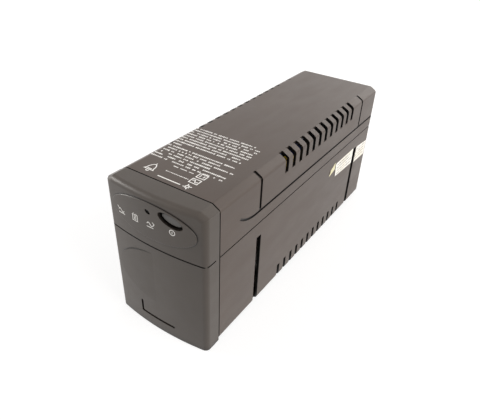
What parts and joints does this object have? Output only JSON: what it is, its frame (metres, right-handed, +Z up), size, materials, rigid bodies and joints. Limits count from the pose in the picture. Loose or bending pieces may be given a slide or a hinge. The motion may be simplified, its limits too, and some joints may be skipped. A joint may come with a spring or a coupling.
{
  "type": "uninterruptible power supply",
  "caption": "Small dark grey tower power supply with a bowed front, slotted sides, rear appliance outlets and a battery, transformer and boards inside.",
  "frame": {"origin": "on the floor, under the middle of the object's box", "axes": "+X to the right seen from the front, +Y from the front bezel to the rear panel, +Z up"},
  "size_m": [0.1001, 0.3266, 0.143],
  "materials": {
    "housing_plastic": "fine moulded texture",
    "bezel_plastic": "fine moulded texture",
    "button_plastic": "fine moulded texture",
    "black_plastic": "moulded",
    "panel_plastic": "moulded",
    "battery_plastic": "moulded",
    "foot_rubber": "matt",
    "pad_foam": "open foam",
    "zinc_steel": "zinc plated",
    "core_steel": "laminated, varnished",
    "winding_copper": "enamelled wire",
    "contact_brass": "bright",
    "pin_nickel": "nickel plated",
    "sink_aluminium": "extruded",
    "board_green": "solder mask",
    "lamp_green": "clear tinted",
    "clear_plastic": "smoked clear",
    "relay_blue": "moulded",
    "chip_black": "moulded epoxy",
    "can_sleeve": "shrink sleeve",
    "film_yellow": "moulded",
    "varistor_blue": "dipped",
    "fuse_green": "translucent",
    "white_nylon": "moulded",
    "wire_red": "insulation",
    "wire_black": "insulation",
    "wire_blue": "insulation",
    "wire_yellow": "insulation",
    "wire_green": "insulation",
    "wire_grey": "insulation",
    "label_paper": "matt white"
  },
  "bodies": {
    "housing": {"top_cover": "housing_plastic", "base_shell": "housing_plastic", "front_bezel": "bezel_plastic", "rear_panel": "panel_plastic", "rubber_feet": "foot_rubber", "housing_screws": "zinc_steel", "power_switch": "black_plastic", "front_board": "board_green", "front_board_screws": "zinc_steel", "buzzer": "chip_black", "status_lamp": "lamp_green", "light_pipe": "clear_plastic", "battery_jar": "battery_plastic", "battery_lid": "battery_plastic", "battery_terminals": "pin_nickel", "battery_pads": "pad_foam", "battery_bracket": "zinc_steel", "bracket_screws": "zinc_steel", "main_board": "board_green", "board_posts": "white_nylon", "board_screws": "zinc_steel", "relays": "relay_blue", "heat_sinks": "sink_aluminium", "power_transistors": "chip_black", "filter_capacitors": "can_sleeve", "film_capacitors": "film_yellow", "surge_varistors": "varistor_blue", "fuse_holder": "black_plastic", "blade_fuse": "fuse_green", "control_chips": "chip_black", "board_connectors": "white_nylon", "transformer_core": "core_steel", "transformer_bobbin": "white_nylon", "transformer_winding": "winding_copper", "transformer_strap": "zinc_steel", "transformer_screws": "zinc_steel", "mains_inlet": "black_plastic", "inlet_pins": "pin_nickel", "output_outlets": "black_plastic", "outlet_contacts": "contact_brass", "breaker_body": "black_plastic", "breaker_collar": "pin_nickel", "data_jacks": "black_plastic", "jack_contacts": "contact_brass", "data_port": "pin_nickel", "earth_screw": "zinc_steel", "lead_connectors": "white_nylon", "red_lead": "wire_red", "black_lead": "wire_black", "transformer_leads": "wire_yellow", "mains_wires": "wire_blue", "earth_wire": "wire_green", "control_cable": "wire_grey", "side_label": "label_paper"},
    "power_button": {"power_button": "button_plastic", "switch_plunger": "white_nylon"},
    "breaker_button": {"breaker_button": "white_nylon"}
  },
  "joints": [
    {"name": "power_button_push", "type": "slide", "parent": "housing", "child": "power_button", "axis": [0, 1, 0], "range_m": [0, 0.0025], "stiffness_N_per_m": 800, "springref_m": -0.001},
    {"name": "breaker_reset", "type": "slide", "parent": "housing", "child": "breaker_button", "axis": [0, 1, 0], "range_m": [0, 0.003]}
  ]
}
